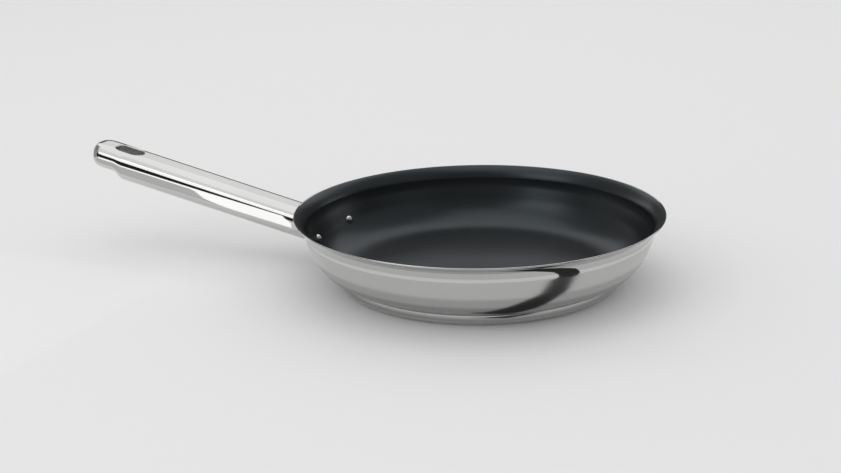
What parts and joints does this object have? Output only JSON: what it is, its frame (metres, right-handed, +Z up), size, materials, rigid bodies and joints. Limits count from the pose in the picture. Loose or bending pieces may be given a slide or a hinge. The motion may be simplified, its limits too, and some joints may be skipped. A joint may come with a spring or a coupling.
{
  "type": "omelette pan",
  "caption": "Shallow round frying pan with curved sides, flared pouring rim, dark nonstick inside, capsule base and a long hollow riveted handle with a hanging slot.",
  "frame": {"origin": "centre of the flat foot under the base, on the worktop", "axes": "+Z up out of the bowl, handle along -X and rising, +Y sideways"},
  "size_m": [0.4111, 0.24, 0.0699],
  "materials": {
    "polished_steel": "polished stainless steel",
    "satin_steel": "satin stainless steel",
    "aluminium_core": "rolled aluminium, sealed in the base",
    "nonstick": "dark satin nonstick coating"
  },
  "bodies": {
    "root": {"base_cap": "polished_steel", "base_core": "aluminium_core", "handle_bracket": "satin_steel", "handle_lower_shell": "polished_steel", "handle_rivets": "satin_steel", "handle_upper_shell": "polished_steel", "hang_slot_liner": "satin_steel", "nonstick_coating": "nonstick", "pan_body": "polished_steel"}
  },
  "joints": []
}
